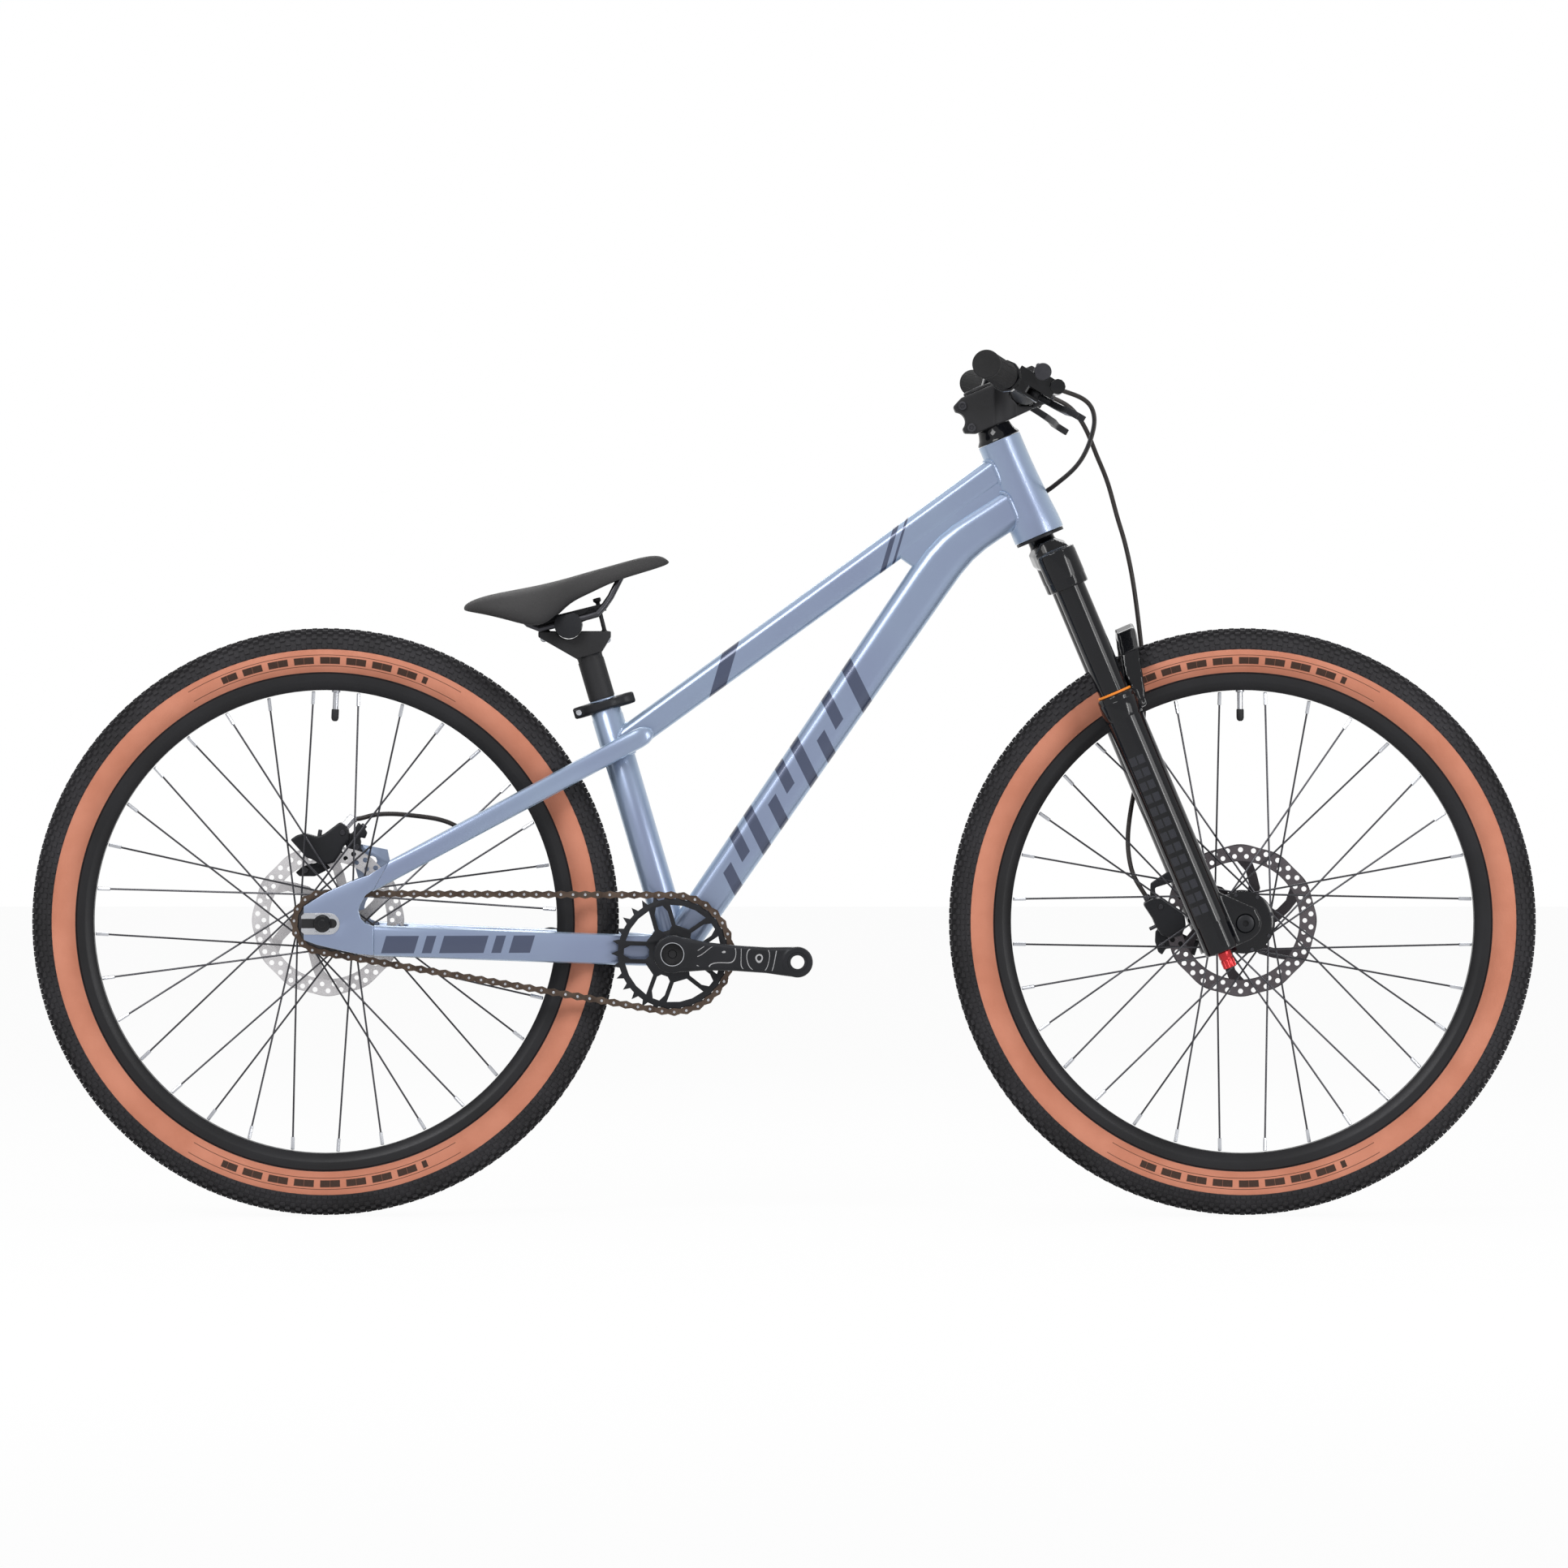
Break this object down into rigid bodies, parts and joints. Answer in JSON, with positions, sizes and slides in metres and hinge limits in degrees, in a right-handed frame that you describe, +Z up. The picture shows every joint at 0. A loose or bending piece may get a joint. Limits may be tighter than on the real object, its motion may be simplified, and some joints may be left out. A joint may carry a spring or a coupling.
{
  "type": "dirt jump bike",
  "caption": "Hardtail dirt jump bicycle with a suspension fork, disc brakes, one gear, a low saddle and a wide riser handlebar, with its controls moving.",
  "frame": {"origin": "on the ground, on the middle plane, midway between the two wheel axles", "axes": "+X forward, +Y to the rider's left, +Z up"},
  "size_m": [1.5706, 0.7, 0.8933],
  "materials": {
    "frame_paint": "metallic light slate blue, glossy",
    "fork_gloss": "gloss black",
    "satin_black_alloy": "satin black anodised",
    "dark_steel": "dark, satin",
    "chain_steel": "brown bronze",
    "spoke_steel": "bright",
    "rotor_dark": "dark, satin",
    "rotor_light": "light, satin",
    "tyre_rubber": "tan sides with a near black tread",
    "grip_rubber": "matte black",
    "ring_rubber": "orange",
    "hose": "brown black",
    "knob_red": "red anodised",
    "saddle_skin": "matte black"
  },
  "bodies": {
    "frame": {"head_tube": "frame_paint", "top_tube": "frame_paint", "down_tube": "frame_paint", "seat_tube": "frame_paint", "bottom_bracket_shell": "frame_paint", "chainstay_right": "frame_paint", "chainstay_left": "frame_paint", "seatstay_right": "frame_paint", "seatstay_left": "frame_paint", "dropout_right": "frame_paint", "dropout_left": "frame_paint", "bottom_bracket_cup_right": "satin_black_alloy", "bottom_bracket_cup_left": "satin_black_alloy", "headset_bearing_upper": "dark_steel", "headset_bearing_lower": "dark_steel", "seat_clamp": "satin_black_alloy", "rear_axle": "dark_steel", "chain": "chain_steel", "rear_caliper": "satin_black_alloy", "rear_brake_hose_front": "hose", "rear_brake_hose_rear": "hose"},
    "steering": {"fork_crown": "fork_gloss", "stanchion_right": "fork_gloss", "stanchion_left": "fork_gloss", "headset_cover": "satin_black_alloy", "stem": "satin_black_alloy", "stem_faceplate": "satin_black_alloy", "handlebar": "satin_black_alloy", "grip_right": "grip_rubber", "grip_left": "grip_rubber", "master_cylinder_right": "satin_black_alloy", "master_cylinder_left": "satin_black_alloy", "front_brake_hose": "hose"},
    "fork_lower": {"fork_lowers": "fork_gloss", "travel_ring": "ring_rubber", "front_axle": "dark_steel", "front_caliper": "satin_black_alloy"},
    "rebound_adjuster": {"rebound_knob": "knob_red"},
    "front_wheel": {"front_tyre": "tyre_rubber", "front_rim": "satin_black_alloy", "front_spokes_right": "spoke_steel", "front_spokes_left": "spoke_steel", "front_hub": "satin_black_alloy", "front_rotor": "rotor_dark"},
    "rear_wheel": {"rear_tyre": "tyre_rubber", "rear_rim": "satin_black_alloy", "rear_spokes_right": "spoke_steel", "rear_spokes_left": "spoke_steel", "rear_hub": "satin_black_alloy", "rear_rotor": "rotor_light"},
    "freehub": {"rear_cog": "dark_steel"},
    "crankset": {"chainring": "satin_black_alloy", "crank_right": "satin_black_alloy", "crank_left": "satin_black_alloy"},
    "lever_right": {"brake_lever_right": "satin_black_alloy"},
    "lever_left": {"brake_lever_left": "satin_black_alloy"},
    "post": {"seatpost": "satin_black_alloy"},
    "tilt_clamp": {"saddle_clamp": "satin_black_alloy"},
    "saddle": {"saddle_rails": "dark_steel", "saddle_cover": "saddle_skin"}
  },
  "joints": [
    {"name": "steering_turn", "type": "hinge", "parent": "frame", "child": "steering", "pos_m": [0.26667, 0, 0.70987], "axis": [-0.3891, 0, 0.9212], "range_deg": [-80, 80], "deforming": ["rear_brake_hose_front"]},
    {"name": "fork_travel", "type": "slide", "parent": "steering", "child": "fork_lower", "axis": [-0.3891, 0, 0.9212], "range_m": [0, 0.08], "stiffness_N_per_m": 6000, "springref_m": -0.01, "deforming": ["front_brake_hose"]},
    {"name": "rebound_turn", "type": "hinge", "parent": "fork_lower", "child": "rebound_adjuster", "pos_m": [0.45624, -0.062, 0.27756], "axis": [-0.3891, 0, 0.9212], "range_deg": [-360, 360]},
    {"name": "front_wheel_spin", "type": "hinge", "parent": "fork_lower", "child": "front_wheel", "pos_m": [0.47875, 0, 0.3065], "axis": [0, 1, 0], "continuous": true},
    {"name": "rear_wheel_spin", "type": "hinge", "parent": "frame", "child": "rear_wheel", "pos_m": [-0.47875, 0, 0.3065], "axis": [0, 1, 0], "continuous": true},
    {"name": "crank_spin", "type": "hinge", "parent": "frame", "child": "crankset", "pos_m": [-0.11576, 0, 0.2745], "axis": [0, 1, 0], "continuous": true},
    {"name": "cog_spin", "type": "hinge", "parent": "frame", "child": "freehub", "pos_m": [-0.47875, 0, 0.3065], "axis": [0, 1, 0], "continuous": true},
    {"name": "brake_lever_right_pull", "type": "hinge", "parent": "steering", "child": "lever_right", "pos_m": [0.25695, -0.19, 0.85223], "axis": [-0.515, 0, -0.8572], "range_deg": [0, 16], "stiffness_Nm_per_rad": 0.3, "springref_deg": -17.19},
    {"name": "brake_lever_left_pull", "type": "hinge", "parent": "steering", "child": "lever_left", "pos_m": [0.25695, 0.19, 0.85223], "axis": [0.515, 0, 0.8572], "range_deg": [0, 16], "stiffness_Nm_per_rad": 0.3, "springref_deg": -17.19},
    {"name": "seatpost_height", "type": "slide", "parent": "frame", "child": "post", "axis": [-0.283, 0, 0.9591], "range_m": [-0.035, 0.07]},
    {"name": "saddle_tilt", "type": "hinge", "parent": "post", "child": "tilt_clamp", "pos_m": [-0.22503, 0, 0.61632], "axis": [0, 1, 0], "range_deg": [-4, 4]},
    {"name": "saddle_fore_aft", "type": "slide", "parent": "tilt_clamp", "child": "saddle", "axis": [0.9703, 0, 0.2419], "range_m": [-0.01, 0.01]}
  ],
  "couplings": [
    {"joint": "cog_spin", "follows": "crank_spin", "ratio": 2}
  ]
}
